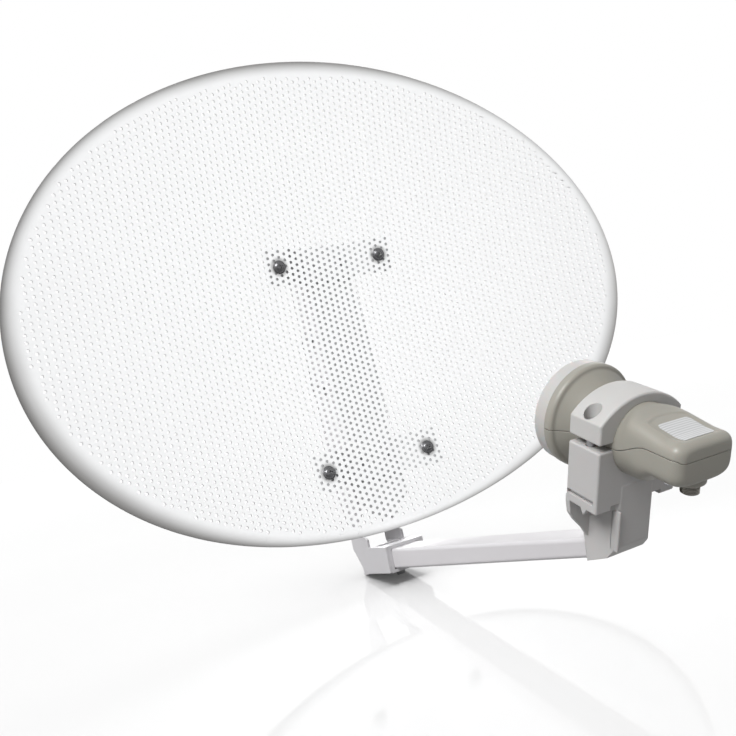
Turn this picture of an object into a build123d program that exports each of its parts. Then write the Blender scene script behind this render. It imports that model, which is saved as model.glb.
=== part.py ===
from build123d import *
from math import atan, cos, degrees, hypot, radians, sin, sqrt
import os

# Satellite dish: an offset oval reflector, a feed arm with its LNB, and a mast clamp at the back.
# The origin is the middle of the mast clamp's bore. +Z runs up the mast, and the dish faces -Y.
os.makedirs("parts", exist_ok=True)

# ---------------------------------------------------------------- driving dimensions (mm)
# mast clamp
mast_r = 16.0
clamp_len = 70.0
barrel_r = 19.5
half_gap = 0.75
plate_x = 19.0
plate_t = 3.0
ear_x = 1.5
ear_t = 4.0
ear_end = 36.0
pinch_y = 29.0
pinch_z = 20.0

# elevation pivot and its slot, in the dish frame (y, z)
pivot = (22.0, -28.0)
lock = (14.0, -74.0)
elevation_range = 25.0
washer_x = 24.5

# reflector
dish_centre = Vector(0, -50, 50)
dish_half_width = 285.0
dish_half_height = 215.9
focal_length = 278.6
vertex_offset = 222.5
rim_sag = 10.8
dish_sheet = 1.2
rim_depth = 13.0
rim_radius = 6.0
blank_r = 480.0

# bracket behind the reflector, in the dish frame
steel = 2.0
stem_half_width = 24.3
foot_half_width = 19.0
web_y0 = 6.6
web_slope = 0.0877
stem_top = 52.0
bolt_x = 50.7
bolt_rows = (38.0, -150.2)
crossbar_half_height = 16.2
crossbar_half_width = 63.0
joggle_end = 40.0
rivet_x = 14.0

# feed arm and its socket
arm_half_width = 13.6
arm_wall = 2.0
arm_corner = 2.5
arm_rear_y = 16.0
socket_front_y = -34.0
socket_rear_y = 30.0
socket_wall = 3.0
arm_screw_y = -14.0

# LNB and its clamp, in the feed frame: s runs away from the dish, h is up
feed_tilt = 21.1
feed_origin = Vector(0, -341.9, -67.2)
cap_r = 30.0
neck_r = 20.0
shell_wall = 2.2
running_gap = 0.05
clamp_start = 28.0
clamp_end = 50.5
clamp_half_width = 29.0
clamp_screw_x = 23.8
clamp_screw_s = 39.25
saddle_top = -2.5
cap_bottom = 1.5
lnb_end = 91.5
lnb_half_width = 20.3
seam_start = -1.8
seam_end = 6.4
connector_s = 83.0
connector_r = 4.76
shell_screw_x = 14.5
shell_screw_s = 82.0
waveguide_r = 9.6

# fasteners
m5 = 2.5
m6 = 3.0
m6_flats = 5.0
m6_nut = 5.0
washer_t = 1.2
hole_gap = 0.3
m6_head_r = 6.0
m6_head_t = 3.2
m6_washer_r = 6.5
hex_head_t = 4.0
dish_bolt_reach = 14.0
cut_depth = 100.0

feed_dir = Vector(0, -cos(radians(feed_tilt)), -sin(radians(feed_tilt)))
feed_up = Vector(0, -sin(radians(feed_tilt)), cos(radians(feed_tilt)))
feed_axis = Axis(feed_origin, feed_dir)
beam_tilt = atan(vertex_offset / (2 * focal_length))
beam_dir = Vector(0, -cos(beam_tilt), sin(beam_tilt))
across_dir = Vector(0, sin(beam_tilt), cos(beam_tilt))


# ---------------------------------------------------------------- planes and small helpers
def dish_side(x):
    """Plane across the dish at x. Its own axes are the dish frame's Y and Z."""
    return Plane(origin=dish_centre + Vector(x, 0, 0), x_dir=(0, 1, 0), z_dir=(1, 0, 0))


def dish_front(y):
    """Plane facing the front of the dish. Its own axes are the dish frame's X and Z."""
    return Plane(origin=dish_centre + Vector(0, y, 0), x_dir=(1, 0, 0), z_dir=(0, -1, 0))


def feed_face(s):
    """Plane square to the feed axis, s behind the cap's face. Its own axes are X and the feed's up."""
    return Plane(origin=feed_origin + feed_dir * s, x_dir=(1, 0, 0), z_dir=feed_dir)


def feed_side(x):
    """Plane along the feed axis at x, facing -X. Its own axes are s and the feed's up."""
    return Plane(origin=feed_origin + Vector(x, 0, 0), x_dir=feed_dir, z_dir=(-1, 0, 0))


def feed_top(x, s, h):
    """Plane square to the feed's up, at a point of the feed frame."""
    place = feed_origin + Vector(x, 0, 0) + feed_dir * s + feed_up * h
    return Plane(origin=place, x_dir=(1, 0, 0), z_dir=feed_up)


def surface_y(x, z):
    """Depth of the reflector's front surface in the dish frame."""
    s, c = sin(beam_tilt), cos(beam_tilt)
    a = s / (4 * focal_length)
    k = (x * x - vertex_offset ** 2) * a - vertex_offset * c - z
    t = (-c + sqrt(c * c - 4 * a * k)) / (2 * a)
    w = (x * x + t * t - vertex_offset ** 2) / (4 * focal_length)
    return (t - vertex_offset) * s - w * c


def surface_slopes(x, z):
    """How the surface's depth changes along X and along Z."""
    across = surface_y(x + 0.5, z) - surface_y(x - 0.5, z)
    up = surface_y(x, z + 0.5) - surface_y(x, z - 0.5)
    return across, up


def dish_seat(x, z):
    """Plane that touches the reflector's front surface at (x, z) and faces the front."""
    across, up = surface_slopes(x, z)
    touch = dish_centre + Vector(x, surface_y(x, z), z)
    return Plane(origin=touch, x_dir=(1, across, 0), z_dir=(across, -1, up))


def web_y(z):
    """Front face of the stem's web, a flat plate that leans a little forward at the bottom."""
    return web_y0 + web_slope * (z - 20)


def arm_top(y):
    """Height of the arm's top line in the dish frame."""
    return -227.3 + 0.144 * (socket_front_y - y)


def arm_bottom(y):
    """Height of the arm's bottom line in the dish frame."""
    return -245.2 + 0.1675 * (socket_front_y - y)


def bolts(planes, shank_r, reach, head_r, head_len, six_sided):
    """A bolt on each plane, its head along the plane's normal and its shank the other way."""
    with BuildPart() as group:
        for plane in planes:
            with BuildSketch(plane):
                if six_sided:
                    RegularPolygon(head_r, 6, major_radius=False)
                else:
                    Circle(head_r)
            extrude(amount=head_len, taper=0 if six_sided else 18)
            with BuildSketch(plane):
                Circle(shank_r)
            extrude(amount=-reach)
    return group.part


def rings(planes, inner_r, outer_r, thickness, six_sided):
    """A washer or a six-sided nut on each plane, along the plane's normal."""
    with BuildPart() as group:
        for plane in planes:
            with BuildSketch(plane):
                if six_sided:
                    RegularPolygon(outer_r, 6, major_radius=False)
                else:
                    Circle(outer_r)
                Circle(inner_r, mode=Mode.SUBTRACT)
            extrude(amount=thickness)
    return group.part


def save(part, name):
    part.label = name
    export_step(part, "parts/" + name + ".step")


# ---------------------------------------------------------------- reflector
# The surface is a parabola turned about the beam axis. A tilted oval cylinder cuts the dish from it.
vertex_depth = vertex_offset ** 2 / (4 * focal_length)
vertex = dish_centre - across_dir * vertex_offset - beam_dir * vertex_depth
blank_rise = blank_r ** 2 / (4 * focal_length)
rim_mid_y = (surface_y(0, dish_half_height) + surface_y(0, -dish_half_height)) / 2
rim_lean = surface_y(0, dish_half_height) - rim_mid_y
cut_tilt = atan(rim_sag / (rim_mid_y - surface_y(dish_half_width, -rim_sag)))
cut_dir = Vector(0, -cos(cut_tilt), -sin(cut_tilt))
cut_half_height = dish_half_height * cos(cut_tilt) - rim_lean * sin(cut_tilt)
rim_plane = Plane(origin=dish_centre + Vector(0, rim_mid_y, 0), x_dir=(1, 0, 0), z_dir=cut_dir)


def dish_slab(shift, inset, radius):
    """Oval slab between the dish surface, moved back by shift, and a copy of it further back."""
    profile_plane = Plane(origin=vertex - beam_dir * shift, x_dir=across_dir, z_dir=across_dir.cross(beam_dir))
    with BuildPart() as slab:
        with BuildSketch(profile_plane):
            with BuildLine():
                Bezier((0, 0), (blank_r / 2, 0), (blank_r, blank_rise))
                Line((blank_r, blank_rise), (blank_r, blank_rise - rim_depth))
                Bezier((blank_r, blank_rise - rim_depth), (blank_r / 2, -rim_depth), (0, -rim_depth))
                Line((0, -rim_depth), (0, 0))
            make_face()
        revolve(axis=Axis(vertex, beam_dir))
        with BuildSketch(rim_plane):
            Ellipse(dish_half_width - inset, cut_half_height - inset)
        extrude(amount=2 * cut_depth, both=True, mode=Mode.INTERSECT)
        front = max(slab.faces(), key=lambda face: face.normal_at().dot(beam_dir) * face.area)
        fillet(front.edges(), radius)
    return slab.part


with BuildPart() as reflector:
    add(dish_slab(0, 0, rim_radius))
    add(dish_slab(dish_sheet, dish_sheet, rim_radius - dish_sheet), mode=Mode.SUBTRACT)
    for row in bolt_rows:
        for x in (-bolt_x, bolt_x):
            with BuildSketch(dish_seat(x, row)):
                Circle(m6 + hole_gap)
            extrude(amount=dish_bolt_reach, both=True, mode=Mode.SUBTRACT)
save(reflector.part, "reflector")

# ---------------------------------------------------------------- bolts through the reflector
bolt_seats = [dish_seat(x, row).offset(0.05) for row in bolt_rows for x in (-bolt_x, bolt_x)]
washer_seats = [seat.offset(-dish_sheet - steel - 0.2) for seat in bolt_seats]
nut_seats = [seat.offset(-washer_t) for seat in washer_seats]
save(bolts(bolt_seats, m6, dish_bolt_reach, m6_head_r, m6_head_t, False), "dish_bolts")
save(rings(washer_seats, m6 + hole_gap, m6_washer_r, -washer_t, False), "dish_washers")
save(rings(nut_seats, m6, m6_flats, -m6_nut, True), "dish_nuts")

# ---------------------------------------------------------------- stem behind the reflector
web_plane = Plane(origin=dish_centre + Vector(0, web_y(0), 0), x_dir=(1, 0, 0), z_dir=(0, -1, web_slope))
stem_shoulder = -188.0
stem_tip = -204.0
stem_tip_half_width = 8.0
with BuildPart() as stem_web:
    with BuildSketch(web_plane):
        with BuildLine():
            Polyline(
                (-stem_half_width, stem_top),
                (stem_half_width, stem_top),
                (stem_half_width, stem_shoulder),
                (stem_tip_half_width, stem_tip),
                (-stem_tip_half_width, stem_tip),
                (-stem_half_width, stem_shoulder),
                close=True,
            )
        make_face()
        with Locations(*[(x, row) for row in bolt_rows for x in (-rivet_x, rivet_x)]):
            Circle(m5, mode=Mode.SUBTRACT)
    extrude(amount=-steel)
save(stem_web.part, "stem_web")


foot_corner_r = 14.0


def cheek(side):
    """Side wall of the stem, which narrows to the foot that holds the arm. side is -1 for left."""
    slot_r = hypot(lock[0] - pivot[0], lock[1] - pivot[1])
    slot_start = degrees(atan((lock[0] - pivot[0]) / (pivot[1] - lock[1]))) - 90
    slot_end = radians(slot_start + elevation_range)
    slot_far_end = (pivot[0] + slot_r * cos(slot_end), pivot[1] + slot_r * sin(slot_end))
    with BuildPart() as wall:
        with BuildSketch(dish_side(0)) as outline:
            with BuildLine():
                Polyline(
                    (web_y(50) + steel + 0.05, 50),
                    (52, 50),
                    (40, -123),
                    (40, -235),
                    (20, -256),
                    (-34, -247.5),
                    (-34, -224.5),
                    (3, -229),
                    (3, -222),
                    (24, -216),
                    (web_y(-190) + steel + 0.05, -190),
                    close=True,
                )
            make_face()
            fillet(outline.vertices().sort_by(Axis.Y)[0], foot_corner_r)
            fillet(outline.vertices().sort_by(Axis.Y)[-1:], steel)
            with Locations(pivot):
                Circle(m6 + running_gap, mode=Mode.SUBTRACT)
            with BuildLine():
                outer = CenterArc(pivot, slot_r + m6 + hole_gap, slot_start, elevation_range)
                inner = CenterArc(pivot, slot_r - m6 - hole_gap, slot_start, elevation_range)
                Line(outer @ 0, inner @ 0)
                Line(outer @ 1, inner @ 1)
            make_face(mode=Mode.SUBTRACT)
            with Locations(lock, slot_far_end):
                Circle(m6 + hole_gap, mode=Mode.SUBTRACT)
        extrude(amount=side * 2 * stem_half_width)
        with BuildSketch(dish_front(-100)):
            with BuildLine():
                Polyline(
                    (side * stem_half_width, 80),
                    (side * stem_half_width, -180),
                    (side * foot_half_width, -215),
                    (side * foot_half_width, -280),
                    (side * (foot_half_width - steel), -280),
                    (side * (foot_half_width - steel), -215),
                    (side * (stem_half_width - steel), -180),
                    (side * (stem_half_width - steel), 80),
                    close=True,
                )
            make_face()
        extrude(amount=-2 * cut_depth, mode=Mode.INTERSECT)
    return wall.part


save(cheek(-1), "cheek_left")
save(cheek(1), "cheek_right")


def crossbar(row):
    """Pressed strap across the stem. Its middle lies on the web and its ends on the reflector's back."""
    across, up = surface_slopes(bolt_x, row)
    pad_y = surface_y(bolt_x, row) + (dish_sheet + 0.1) / cos(atan(up))
    stations = [(stem_half_width, web_y(row) - steel, web_slope)]
    for x in (joggle_end, crossbar_half_width):
        stations.append((x, pad_y + across * (x - bolt_x), up))
    whole = [(-x, y, lean) for x, y, lean in reversed(stations)] + stations
    with BuildPart() as strap:
        for x, y, lean in whole:
            rise = lean * crossbar_half_height
            low = row - crossbar_half_height
            high = row + crossbar_half_height
            with BuildSketch(dish_side(x)):
                with BuildLine():
                    Polyline(
                        (y - rise, low),
                        (y - rise + steel, low),
                        (y + rise + steel, high),
                        (y + rise, high),
                        close=True,
                    )
                make_face()
        loft(ruled=True)
        for x in (-bolt_x, bolt_x):
            with BuildSketch(dish_seat(x, row)):
                Circle(m6 + hole_gap)
            extrude(amount=dish_bolt_reach, both=True, mode=Mode.SUBTRACT)
        with BuildSketch(web_plane):
            with Locations((-rivet_x, row), (rivet_x, row)):
                Circle(m5)
        extrude(amount=10, both=True, mode=Mode.SUBTRACT)
    return strap.part


save(crossbar(bolt_rows[0]), "upper_crossbar")
save(crossbar(bolt_rows[1]), "lower_crossbar")

rivet_points = [(x, row) for row in bolt_rows for x in (-rivet_x, rivet_x)]
rivet_head_t = 1.4
rivet_head_r = 4.2
rivet_tail_r = 3.8
with BuildPart() as crossbar_rivets:
    with BuildSketch(web_plane.offset(steel)):
        with Locations(*rivet_points):
            Circle(rivet_head_r)
    extrude(amount=rivet_head_t, taper=25)
    with BuildSketch(web_plane.offset(steel)):
        with Locations(*rivet_points):
            Circle(m5)
    extrude(amount=-2 * steel)
    with BuildSketch(web_plane.offset(-steel)):
        with Locations(*rivet_points):
            Circle(rivet_tail_r)
    extrude(amount=-rivet_head_t, taper=25)
save(crossbar_rivets.part, "crossbar_rivets")

# ---------------------------------------------------------------- mast clamp
pivot_boss_r = 12.0
lock_boss_r = 9.0
plate_back = (48.0, -50.0)
plate_back_width = 8.0
plate_back_height = 66.0


def clamp_half(side):
    """Half of the mast clamp: half a barrel, a plate that carries the dish and a pinch ear."""
    with BuildPart() as half:
        with BuildSketch(Plane.XY.offset(-clamp_len / 2)):
            Circle(barrel_r)
            Circle(mast_r, mode=Mode.SUBTRACT)
            with Locations((side * (half_gap + barrel_r), 0)):
                Rectangle(2 * barrel_r, 4 * barrel_r, mode=Mode.INTERSECT)
            with Locations((side * (ear_x + ear_t / 2), (mast_r + 1 + ear_end) / 2)):
                Rectangle(ear_t, ear_end - mast_r - 1)
        extrude(amount=clamp_len)
        with BuildSketch(dish_side(side * plate_x)):
            with Locations(pivot):
                Circle(pivot_boss_r)
            with Locations(lock):
                Circle(lock_boss_r)
            with Locations(plate_back):
                Rectangle(plate_back_width, plate_back_height)
            make_hull()
            with Locations(pivot, lock):
                Circle(m6 + hole_gap, mode=Mode.SUBTRACT)
        extrude(amount=side * plate_t)
        with BuildSketch(Plane.YZ):
            with Locations((pinch_y, pinch_z), (pinch_y, -pinch_z)):
                Circle(m6 + hole_gap)
        extrude(amount=side * 2 * ear_x + side * ear_t, mode=Mode.SUBTRACT)
    return half.part


save(clamp_half(-1), "clamp_half_left")
save(clamp_half(1), "clamp_half_right")

ear_out = ear_x + ear_t
pinch_points = [(pinch_y, pinch_z), (pinch_y, -pinch_z)]
pinch_reach = 2 * ear_out + 2 * washer_t + 8
pinch_heads = [Plane(origin=(-ear_out - washer_t, y, z), z_dir=(-1, 0, 0)) for y, z in pinch_points]
pinch_left = [Plane(origin=(-ear_out, y, z), z_dir=(-1, 0, 0)) for y, z in pinch_points]
pinch_right = [Plane(origin=(ear_out, y, z), z_dir=(1, 0, 0)) for y, z in pinch_points]
save(bolts(pinch_heads, m6, pinch_reach, m6_flats, hex_head_t, True), "pinch_bolts")
save(rings(pinch_left + pinch_right, m6 + hole_gap, m6_washer_r, washer_t, False), "pinch_washers")
save(rings([plane.offset(washer_t) for plane in pinch_right], m6, m6_flats, m6_nut, True), "pinch_nuts")

# ---------------------------------------------------------------- elevation pivot and lock
big_washer_t = 1.5
big_washer_r = 8.0


def elevation_seat(point, side):
    """Plane on the outer face of the washer beside the stem, facing away from it."""
    place = dish_centre + Vector(side * (washer_x + big_washer_t), point[0], point[1])
    return Plane(origin=place, x_dir=(0, 1, 0), z_dir=(side, 0, 0))


elevation_reach = 2 * (washer_x + big_washer_t) + m6_nut + 2
elevation_seats = [elevation_seat(point, side) for point in (pivot, lock) for side in (-1, 1)]
save(rings(elevation_seats, m6 + hole_gap, big_washer_r, -big_washer_t, False), "elevation_washers")
for bolt_name, nut_name, point in (("pivot_bolt", "pivot_nut", pivot), ("lock_bolt", "lock_nut", lock)):
    save(bolts([elevation_seat(point, -1)], m6, elevation_reach, m6_flats, hex_head_t, True), bolt_name)
    save(rings([elevation_seat(point, 1)], m6, m6_flats, m6_nut, True), nut_name)

# ---------------------------------------------------------------- arm socket, arm and its screw
socket_half_width = foot_half_width - steel - 0.1
socket_open_y = -14.0
socket_open_z = -230.0
rib_y = 2.0
rib_t = 3.0
foot_normal = Vector(0, -0.1675, -1).normalized()
screw_point = dish_centre + Vector(0, arm_screw_y, arm_bottom(arm_screw_y))
foot_plane = Plane(origin=screw_point, x_dir=(1, 0, 0), z_dir=foot_normal)
with BuildPart() as arm_socket:
    with BuildSketch(dish_side(-socket_half_width)):
        with BuildLine():
            Polyline(
                (socket_front_y, arm_top(socket_front_y) + socket_wall),
                (socket_rear_y, arm_top(socket_rear_y) + socket_wall),
                (socket_rear_y, arm_bottom(socket_rear_y) - socket_wall),
                (socket_front_y, arm_bottom(socket_front_y) - socket_wall),
                close=True,
            )
        make_face()
    extrude(amount=2 * socket_half_width)
    with BuildSketch(dish_side(-arm_half_width - 0.1)):
        with BuildLine():
            Polyline(
                (socket_front_y - 10, arm_top(socket_front_y - 10) + 0.1),
                (socket_rear_y + 10, arm_top(socket_rear_y + 10) + 0.1),
                (socket_rear_y + 10, arm_bottom(socket_rear_y + 10) - 0.1),
                (socket_front_y - 10, arm_bottom(socket_front_y - 10) - 0.1),
                close=True,
            )
        make_face()
    extrude(amount=2 * arm_half_width + 0.2, mode=Mode.SUBTRACT)
    with BuildSketch(dish_side(-arm_half_width - 0.1)):
        for start, end in ((socket_open_y, rib_y), (rib_y + rib_t, socket_rear_y + 1)):
            with Locations(((start + end) / 2, socket_open_z)):
                Rectangle(end - start, 24)
    extrude(amount=2 * arm_half_width + 0.2, mode=Mode.SUBTRACT)
    with BuildSketch(foot_plane):
        Circle(m6 + hole_gap)
    extrude(amount=2 * socket_wall, mode=Mode.SUBTRACT)
save(arm_socket.part, "arm_socket")

holder_screw_y = -279.0
holder_screw_r = 1.6
holder_screw_point = dish_centre + Vector(0, holder_screw_y, arm_bottom(holder_screw_y))
holder_screw_plane = Plane(origin=holder_screw_point, x_dir=(1, 0, 0), z_dir=foot_normal)

# The arm ends at a slanted seam against the holder.
seam_point = feed_origin + feed_dir * 31.4 - feed_up * 80
seam_plane = Plane(origin=seam_point, x_dir=(1, 0, 0), z_dir=feed_dir * 18 + feed_up * 4.7)
tip_y = -305.0
with BuildPart() as arm:
    with BuildSketch(dish_side(-arm_half_width)):
        with BuildLine():
            Polyline(
                (arm_rear_y, arm_top(arm_rear_y)),
                (tip_y, arm_top(tip_y)),
                (tip_y, arm_bottom(tip_y)),
                (arm_rear_y, arm_bottom(arm_rear_y)),
                close=True,
            )
        make_face()
    extrude(amount=2 * arm_half_width)
    long_edges = arm.edges().filter_by(lambda edge: edge.length > 200)
    fillet(long_edges, arm_corner)
    with BuildSketch(dish_side(-arm_half_width + arm_wall)):
        with BuildLine():
            Polyline(
                (arm_rear_y + 5, arm_top(arm_rear_y + 5) - arm_wall),
                (tip_y - 5, arm_top(tip_y - 5) - arm_wall),
                (tip_y - 5, arm_bottom(tip_y - 5) + arm_wall),
                (arm_rear_y + 5, arm_bottom(arm_rear_y + 5) + arm_wall),
                close=True,
            )
        make_face()
    extrude(amount=2 * (arm_half_width - arm_wall), mode=Mode.SUBTRACT)
    split(bisect_by=seam_plane, keep=Keep.BOTTOM)
    with BuildSketch(foot_plane):
        Circle(m6 + hole_gap)
    extrude(amount=-6, mode=Mode.SUBTRACT)
    with BuildSketch(holder_screw_plane):
        Circle(holder_screw_r + hole_gap)
    extrude(amount=-4, mode=Mode.SUBTRACT)
save(arm.part, "arm")

screw_head = foot_plane.offset(socket_wall)
save(bolts([screw_head], m6, socket_wall + 12, m6_flats, 4.8, False), "arm_screw")
save(rings([foot_plane.offset(-arm_wall - 0.1)], m6, m6_flats, -m6_nut, True), "arm_nut")

plug_depth = 12.0
with BuildPart() as arm_end_plug:
    with BuildSketch(dish_side(-arm_half_width + arm_wall + 0.1)):
        with BuildLine():
            Polyline(
                (arm_rear_y - plug_depth, arm_top(arm_rear_y - plug_depth) - arm_wall - 0.1),
                (arm_rear_y, arm_top(arm_rear_y) - arm_wall - 0.1),
                (arm_rear_y, arm_bottom(arm_rear_y) + arm_wall + 0.1),
                (arm_rear_y - plug_depth, arm_bottom(arm_rear_y - plug_depth) + arm_wall + 0.1),
                close=True,
            )
        make_face()
    extrude(amount=2 * (arm_half_width - arm_wall - 0.1))
    with BuildSketch(dish_side(-arm_half_width)):
        with Locations((arm_rear_y + 1, (arm_top(arm_rear_y) + arm_bottom(arm_rear_y)) / 2)):
            Rectangle(2, arm_top(arm_rear_y) - arm_bottom(arm_rear_y))
    extrude(amount=2 * arm_half_width)
save(arm_end_plug.part, "arm_end_plug")

# ---------------------------------------------------------------- LNB holder at the arm's tip
saddle_bottom = -38.0
saddle_wall = 3.0
leg_bottom = -80.0
spigot_end_y = -266.0
slot_top = -30.4
slot_bottom = -32.8
spigot_start_y = -294.5
spigot_inset = arm_wall + 0.15
holder_edge_r = 1.2
tab_bottom = saddle_bottom - 3
leg_corner_r = 3.0

with BuildPart() as holder_leg:
    with BuildSketch(feed_side(arm_half_width)):
        with BuildLine():
            Polyline(
                (50.7, -23),
                (50.7, -62.7),
                (46, -70.5),
                (31.5, leg_bottom),
                (26.8, -62),
                (28, saddle_bottom),
                (28, -23),
                close=True,
            )
        make_face()
    extrude(amount=2 * arm_half_width)
    fillet(holder_leg.faces().sort_by(feed_axis)[-1].edges(), leg_corner_r)

with BuildPart() as lnb_holder:
    with BuildSketch(feed_side(clamp_half_width)):
        with Locations(((clamp_start + clamp_end) / 2, (saddle_top + saddle_bottom) / 2)):
            Rectangle(clamp_end - clamp_start, saddle_top - saddle_bottom)
    extrude(amount=2 * clamp_half_width)
    fillet(lnb_holder.edges(), holder_edge_r)
    with BuildSketch(feed_side(-clamp_half_width)):
        with BuildLine():
            Polyline((39, saddle_bottom + 1), (44, saddle_bottom + 1), (41.5, tab_bottom), close=True)
        make_face()
    extrude(amount=-saddle_wall)
    with BuildSketch(feed_side(18.5)):
        with Locations(((clamp_start + clamp_end) / 2, -32)):
            Rectangle(clamp_end - clamp_start - 2 * saddle_wall, 16)
        with Locations((clamp_end - 1, -37)):
            Rectangle(4, 4)
    extrude(amount=37, mode=Mode.SUBTRACT)
    add(holder_leg.part)
    with BuildSketch(feed_face(clamp_start)):
        with BuildLine():
            Polyline(
                (-29, -34),
                (-29, -38),
                (-27.8, -45.4),
                (-23.9, -51.3),
                (-17.3, -58.6),
                (-13, -65),
                (13, -65),
                (17.3, -58.6),
                (23.9, -51.3),
                (27.8, -45.4),
                (29, -38),
                (29, -34),
                close=True,
            )
        make_face()
    extrude(amount=saddle_wall)
    with BuildSketch(dish_side(spigot_inset - arm_half_width)):
        with BuildLine():
            Polyline(
                (spigot_start_y, arm_top(spigot_start_y) - spigot_inset),
                (spigot_end_y, arm_top(spigot_end_y) - spigot_inset),
                (spigot_end_y, arm_bottom(spigot_end_y) + spigot_inset),
                (spigot_start_y, arm_bottom(spigot_start_y) + spigot_inset),
                close=True,
            )
        make_face()
    extrude(amount=2 * (arm_half_width - spigot_inset))
    with BuildSketch(feed_face(0)):
        Circle(neck_r + running_gap)
    extrude(amount=cut_depth, mode=Mode.SUBTRACT)
    with BuildSketch(feed_side(clamp_half_width + 1)):
        with Locations((38.3, (slot_top + slot_bottom) / 2)):
            Rectangle(19.4, slot_top - slot_bottom)
    extrude(amount=10.5, mode=Mode.SUBTRACT)
    with BuildSketch(feed_side(-clamp_half_width - 1)):
        with Locations((38.3, (slot_top + slot_bottom) / 2)):
            Rectangle(19.4, slot_top - slot_bottom)
    extrude(amount=-10.5, mode=Mode.SUBTRACT)
    for x in (-clamp_screw_x, clamp_screw_x):
        with BuildSketch(feed_top(x, clamp_screw_s, 0)):
            Circle(m5 + hole_gap)
        extrude(amount=-cut_depth / 2, mode=Mode.SUBTRACT)
    with BuildSketch(holder_screw_plane):
        Circle(holder_screw_r)
    extrude(amount=-7, mode=Mode.SUBTRACT)
save(lnb_holder.part, "lnb_holder")

with BuildPart() as nut_plates:
    for x in (-clamp_screw_x, clamp_screw_x):
        with BuildSketch(feed_top(x, 38.3, slot_bottom + 0.2)):
            Rectangle(7.6, 17)
        extrude(amount=slot_top - slot_bottom - 0.4)
        with BuildSketch(feed_top(x, clamp_screw_s, 0)):
            Circle(m5 + hole_gap)
        extrude(amount=-cut_depth / 2, mode=Mode.SUBTRACT)
save(nut_plates.part, "nut_plates")

save(bolts([holder_screw_plane], holder_screw_r, 7, 3.6, 2.2, False), "holder_screw")

# ---------------------------------------------------------------- clamp cap and its screws
cap_shoulder = 12.5
cap_crown = 24.8
pocket_floor = 8.0
pocket_r = 4.5
clamp_screw_reach = 42.0
with BuildPart() as clamp_cap:
    with BuildSketch(feed_face(clamp_start)):
        with BuildLine():
            Line((-clamp_half_width, cap_shoulder), (-clamp_half_width, cap_bottom))
            Line((-clamp_half_width, cap_bottom), (clamp_half_width, cap_bottom))
            Line((clamp_half_width, cap_bottom), (clamp_half_width, cap_shoulder))
            ThreePointArc((clamp_half_width, cap_shoulder), (0, cap_crown), (-clamp_half_width, cap_shoulder))
        make_face()
    extrude(amount=clamp_end - clamp_start)
    fillet(clamp_cap.edges(), holder_edge_r)
    with BuildSketch(feed_face(0)):
        Circle(neck_r + running_gap)
    extrude(amount=cut_depth, mode=Mode.SUBTRACT)
    for x in (-clamp_screw_x, clamp_screw_x):
        with BuildSketch(feed_top(x, clamp_screw_s, pocket_floor)):
            Circle(pocket_r)
        extrude(amount=20, mode=Mode.SUBTRACT)
        with BuildSketch(feed_top(x, clamp_screw_s, pocket_floor)):
            Circle(m5 + hole_gap)
        extrude(amount=-20, mode=Mode.SUBTRACT)
save(clamp_cap.part, "clamp_cap")
clamp_heads = [feed_top(x, clamp_screw_s, pocket_floor) for x in (-clamp_screw_x, clamp_screw_x)]
save(bolts(clamp_heads, m5, clamp_screw_reach, 4.1, 3.0, False), "clamp_screws")

# ---------------------------------------------------------------- LNB case
ring_start = 10.0
ring_r = 30.5
ring_end = 15.5
flare_end = 25.5
body_start = 51.0
neck_end = 52.5
belly_r = 19.5
belly_end = 60.0
belly_tip = 74.0
# Level plane through the feed axis. Its own axes are s and X.
belly_plane = Plane(origin=feed_origin, x_dir=feed_dir, z_dir=feed_up)


def case_form(wall):
    """The LNB's case as a solid, taken in by a wall's thickness. The front stays open."""
    half = lnb_half_width - wall
    with BuildPart() as form:
        with BuildSketch(feed_side(half)):
            with BuildLine():
                Polyline(
                    (body_start, 19.3 - wall),
                    (64, 17.3 - wall),
                    (80, 14.4 - wall),
                    (lnb_end - wall, 14.4 - wall),
                    (lnb_end - wall, wall - 9.5),
                    (body_start, wall - 9.5),
                    close=True,
                )
            make_face()
        extrude(amount=2 * half)
        back = form.faces().sort_by(feed_axis)[-1]
        fillet(back.edges(), 5.0 - wall)
        with BuildSketch(feed_side(0)):
            with BuildLine():
                Polyline(
                    (ring_start - wall, 0),
                    (ring_start - wall, ring_r - wall),
                    (ring_end - wall / 2, ring_r - wall),
                    (flare_end - wall / 2, neck_r - wall),
                    (neck_end + wall, neck_r - wall),
                    (neck_end + wall, 0),
                    close=True,
                )
            make_face()
        revolve(axis=feed_axis)
        with BuildSketch(belly_plane):
            with BuildLine():
                Polyline(
                    (neck_end - 1, 0),
                    (neck_end - 1, belly_r - wall),
                    (belly_end - wall, belly_r - wall),
                    (belly_tip - wall, 9.0 - wall),
                    (belly_tip - wall, 0),
                    close=True,
                )
            make_face()
        revolve(axis=Axis(feed_origin, -feed_dir), revolution_arc=180)
    return form.part


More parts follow.
